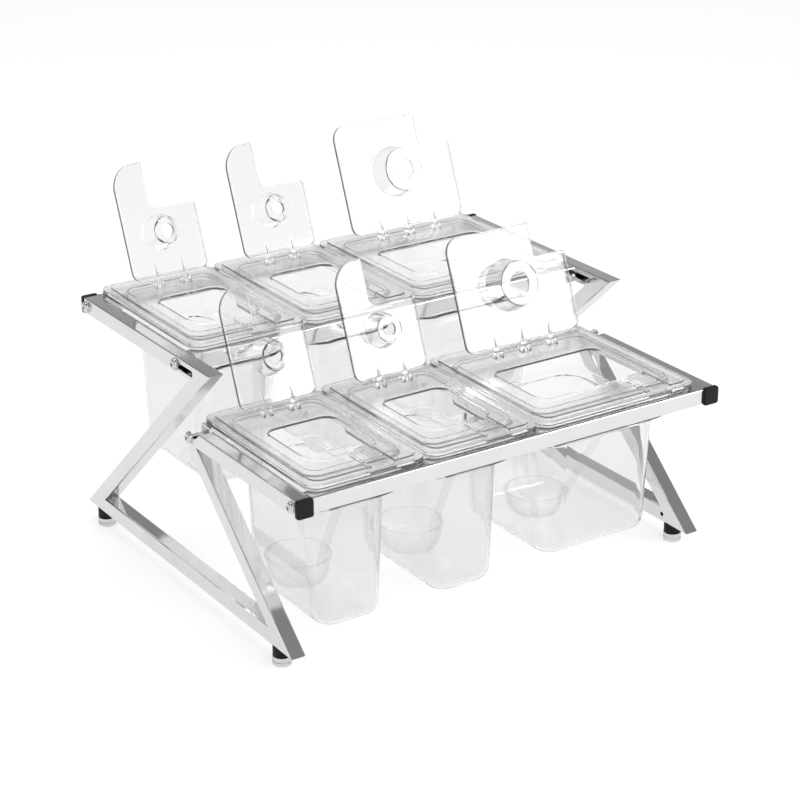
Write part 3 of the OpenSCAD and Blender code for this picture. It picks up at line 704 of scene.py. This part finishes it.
# Clear ladles that stand in the lower pans, each with its handle lying in the lid's trough. Only
# bowlX and troughX are measured from the pan's middle. riseEnd and bend are (y, how far below the
# handle's place in the trough)
ladle = {"bowlX": {"left": 0.0, "middle": 1.0, "right": -9.0},
         "bowlY": {"left": -66.0, "middle": -66.0, "right": -74.0},
         "bowlR": 27.0, "rimZ": 48.3, "wall": 1.6, "lift": 0.3, "bowlSteps": 16,
         "troughX": {"left": 16.5, "middle": 16.5, "right": 45.0}, "troughFloor": 4.9,
         "handleW": 8.0, "handleT": 3.0, "handleEdge": 1.1, "footShare": 0.25,
         "rootUp": 14.0, "rootOut": 0.6, "rootBelowRim": 3.0,
         "riseOut": 1.4, "riseAboveRim": 4.0, "riseEnd": (-125.0, 15.0), "riseSteps": 8,
         "bend": ((-128.4, 8.5), (-130.6, 5.0), (-133.4, 2.0), (-137.0, 0.4), (-141.0, 0.0),
                  (-155.0, 0.0), (-169.0, 0.0)),
         "crease": 50.0}


# Up the outside of a bowl of height h, over its rolled rim and down the inside
def bowlSections(h):
    r, t = ladle["bowlR"], ladle["wall"]
    outer = [(0, 0), (8, 0), (15.5, 1.2), (20, 3.4), (23.2, 7), (25.2, 12), (r - 0.7, h - 6),
             (r - 0.2, h - 2), (r + 0.5, h - 1.2), (r + 0.6, h - 0.6), (r + 0.3, h)]
    inner = [(r - t, h), (r - t - 0.4, h - 0.8), (r - t - 0.9, h - 6), (25.2 - t, 12),
             (23.2 - t, 7.6), (19, 4.4), (14.5, 2.6), (7.5, t), (0, t)]
    return [roundSection(radius, height) for radius, height in outer + inner]


# A bar of rounded rectangles along a path, kept level across
def sweptBar(name, path, width, thick, rounding, material, steps=3):
    shape = bmesh.new()
    rings = []
    for i, (x, y, z) in enumerate(path):
        before, after = path[max(i - 1, 0)], path[min(i + 1, len(path) - 1)]
        along = Vector((0.0, after[1] - before[1], after[2] - before[2])).normalized()
        out = Vector((0.0, -along.z, along.y))
        ring = []
        for quarter in range(4):
            for k in range(steps + 1):
                a = math.pi / 2 * (quarter + k / steps)
                right, upper = (1 if quarter in (0, 3) else -1), (1 if quarter < 2 else -1)
                u = (width / 2 - rounding) * right + rounding * math.cos(a)
                v = (thick / 2 - rounding) * upper + rounding * math.sin(a)
                ring.append(shape.verts.new((Vector((x + u, y, z)) + out * v) * mm))
        rings.append(ring)
    count = len(rings[0])
    for low, high in zip(rings, rings[1:]):
        for i in range(count):
            shape.faces.new((low[i], low[(i + 1) % count], high[(i + 1) % count], high[i]))
    shape.faces.new(rings[0])
    shape.faces.new(rings[-1])
    bmesh.ops.recalc_face_normals(shape, faces=shape.faces)
    mesh = bpy.data.meshes.new(name)
    shape.to_mesh(mesh)
    shape.free()
    mesh.materials.append(material)
    return mesh


def joinedMesh(name, meshes, material):
    shape = bmesh.new()
    for mesh in meshes:
        shape.from_mesh(mesh)
    for face in shape.faces:
        face.material_index = 0
    joined = bpy.data.meshes.new(name)
    shape.to_mesh(joined)
    shape.free()
    joined.materials.append(material)
    return joined


for side in ("left", "middle", "right"):
    low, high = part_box("pan_lower_" + side)
    railTop = high.z / mm - pan["rimZ"] - pan["rimT"]
    middleX, floorZ = (low.x + high.x) / 2 / mm, low.z / mm + pan["wall"] + ladle["lift"]
    bowlX, handleX = middleX + ladle["bowlX"][side], middleX + ladle["troughX"][side]
    bowlY = ladle["bowlY"][side]
    bowlH = ladle["rimZ"] - floorZ
    bowl = loftedMesh("bowl", bowlSections(bowlH), ladleClear,
                      (bowlX * mm, bowlY * mm, floorZ * mm), ladle["bowlSteps"])
    restZ = railTop + ladle["troughFloor"] + ladle["lift"] + ladle["handleT"] / 2
    footX = bowlX + (handleX - bowlX) * ladle["footShare"]
    footY = bowlY - math.sqrt(ladle["bowlR"] ** 2 - (footX - bowlX) ** 2) + ladle["wall"] / 2
    root = [(footX, footY, floorZ + ladle["rootUp"]),
            (footX, footY - ladle["rootOut"], ladle["rimZ"] - ladle["rootBelowRim"])]
    riseY, riseDrop = ladle["riseEnd"]
    riseStart = (footX, footY - ladle["riseOut"], ladle["rimZ"] + ladle["riseAboveRim"])
    rise = [between(riseStart, (handleX, riseY, restZ - riseDrop), k / ladle["riseSteps"])
            for k in range(ladle["riseSteps"] + 1)]
    bend = [(handleX, y, restZ - drop) for y, drop in ladle["bend"]]
    handle = sweptBar("handle", root + rise + bend, ladle["handleW"], ladle["handleT"],
                      ladle["handleEdge"], ladleClear)
    finishedPiece(joinedMesh("ladle_lower_" + side + "_moulded", [bowl, handle], ladleClear),
                  "ladle_lower_" + side + "_moulded", "lid_lower_" + side,
                  crease=ladle["crease"])
print("stage: ladles set in the lower pans")


# The floor and the sky look white to the camera and through clear pieces, and have their own
# tones in what the steel mirrors
studio = {"floorSize": 14.0, "floorTone": 0.50, "floorVary": 0.01, "mottle": 3.0, "floorRough": 0.9,
          "liftSeen": 0.60, "liftInSteel": 0.47, "liftThroughClear": 0.55,
          "worldLevel": 0.62, "darkTone": 0.26, "darkFrom": 0.10, "darkTo": 0.42}


# Camera, glossy and transmission rays
def rayKinds(graph):
    cameraRay = graph.add("ShaderNodeLightPath")
    return cameraRay, cameraRay.out("Is Glossy Ray"), cameraRay.out("Is Transmission Ray")


floorMesh = bpy.data.meshes.new("floor")
half = studio["floorSize"] / 2
floorMesh.from_pydata([(-half, -half, 0), (half, -half, 0), (half, half, 0), (-half, half, 0)], [],
                      [(0, 1, 2, 3)])
floor = bpy.data.objects.new("floor", floorMesh)
bpy.context.scene.collection.objects.link(floor)
material, graph, place = newFinish("paleFloor")
cameraRay, glossyRay, clearRay = rayKinds(graph)
mottle = noise(graph, place, studio["mottle"], 3.0)
mirrored = glossyRay * (1.0 - clearRay)  # a refracted ray counts as glossy too
lift = (cameraRay * studio["liftSeen"] + mirrored * studio["liftInSteel"]
        + clearRay * studio["liftThroughClear"])
shader = graph.add("ShaderNodeBsdfPrincipled", None, {
    "Base Color": graph.mixed(mottle, grey(studio["floorTone"] - studio["floorVary"]),
                              grey(studio["floorTone"] + studio["floorVary"])),
    "Roughness": studio["floorRough"], "Specular IOR Level": 0.0,
    "Emission Color": greyFrom(graph, lift), "Emission Strength": 1.0})
graph.add("ShaderNodeOutputMaterial", None, {"Surface": shader})
floorMesh.materials.append(material)

world = bpy.data.worlds.new("studio")
bpy.context.scene.world = world
world.use_nodes = True
graph = Graph(world.node_tree)
height = graph.add("ShaderNodeSeparateXYZ", None,
                   {0: graph.add("ShaderNodeTexCoord").out("Generated")}).out("Z")
shade = graph.add("ShaderNodeMapRange", {"clamp": True, "interpolation_type": "SMOOTHSTEP"},
                  {0: height, 1: studio["darkFrom"], 2: studio["darkTo"], 3: 1.0,
                   4: studio["darkTone"]})
cameraRay, glossyRay, clearRay = rayKinds(graph)
lit = glossyRay * shade + (1.0 - glossyRay) * studio["worldLevel"]
direct = cameraRay.maths("MAXIMUM", clearRay)
sky = graph.add("ShaderNodeBackground", None, {
    "Color": greyFrom(graph, direct + (1.0 - direct) * lit), "Strength": 1.0})
graph.add("ShaderNodeOutputWorld", None, {"Surface": sky})

softboxes = {
    "sideSoftbox": {"where": (-1.9, -0.5, 1.5), "aim": (0.0, 0.0, 0.1),
                    "size": (1.4, 1.0), "power": 4.0},
    "frontSoftbox": {"where": (0.2, -2.2, 1.5), "aim": (0.0, -0.1, 0.1),
                     "size": (1.2, 1.0), "power": 15.0},
    "topSoftbox": {"where": (0.1, 0.9, 2.2), "aim": (0.0, 0.0, 0.1),
                   "size": (1.6, 0.8), "power": 11.0}}
for name, box in softboxes.items():
    lamp = bpy.data.lights.new(name, "AREA")
    lamp.shape = "RECTANGLE"
    lamp.size, lamp.size_y = box["size"]
    lamp.energy = box["power"]
    where, aim = Vector(box["where"]), Vector(box["aim"])
    holder = bpy.data.objects.new(name, lamp)
    holder.matrix_world = (Matrix.Translation(where)
                           @ (aim - where).to_track_quat("-Z", "Y").to_matrix().to_4x4())
    bpy.context.scene.collection.objects.link(holder)

# A bright screen at the front right: the open flaps on that side mirror it and turn white
screen = {"middle": Vector((0.9216, -1.4756, 0.7117)), "across": Vector((0.8482, 0.5297, 0.0)),
          "up": Vector((-0.1359, 0.2176, 0.9665)), "glow": 8.0, "dimmest": 0.9, "clouds": 2.0,
          "outline": ((-0.33, -0.18), (0.44, -0.20), (0.44, 0.42), (0.14, 0.42), (0.10, 0.17),
                      (-0.13, 0.17))}
screenMesh = bpy.data.meshes.new("flapScreen")
screenMesh.from_pydata([tuple(screen["middle"] + screen["across"] * u + screen["up"] * v)
                        for u, v in screen["outline"]], [], [tuple(range(len(screen["outline"])))])
flapScreen = bpy.data.objects.new("flapScreen", screenMesh)
bpy.context.scene.collection.objects.link(flapScreen)
material, graph, place = newFinish("screenGlow")
soft = noise(graph, place, screen["clouds"], 1.0)
glow = graph.add("ShaderNodeEmission", None, {
    "Color": graph.mixed(soft, grey(screen["dimmest"]), grey(1.0)), "Strength": screen["glow"]})
graph.add("ShaderNodeOutputMaterial", None, {"Surface": glow})
screenMesh.materials.append(material)

# The photograph's view, from the object's left and above: degrees, metres, and millimetres of lens
cameraView = {"azimuth": 33.7, "elevation": 22.68, "distance": 1.9223, "lens": 100.99,
              "sensor": 36.0, "farthest": 60.0, "target": (0.0, -0.0107, 0.1325)}
turnAngle, dip = math.radians(cameraView["azimuth"]), math.radians(cameraView["elevation"])
forward = Vector((math.sin(turnAngle) * math.cos(dip), math.cos(turnAngle) * math.cos(dip),
                  -math.sin(dip)))
lens = bpy.data.cameras.new("camera")
lens.lens = cameraView["lens"]
lens.sensor_width = cameraView["sensor"]
lens.clip_end = cameraView["farthest"]
camera = bpy.data.objects.new("camera", lens)
camera.location = Vector(cameraView["target"]) - forward * cameraView["distance"]
camera.rotation_euler = forward.to_track_quat("-Z", "Y").to_euler()
bpy.context.scene.collection.objects.link(camera)
bpy.context.scene.camera = camera
bpy.context.scene.view_settings.view_transform = "Standard"

clearPasses = 24  # light crosses many clear walls one behind the other
bpy.context.scene.cycles.max_bounces = clearPasses
bpy.context.scene.cycles.transmission_bounces = clearPasses
bpy.context.scene.cycles.transparent_max_bounces = clearPasses
print("stage: floor, lamps and camera set")
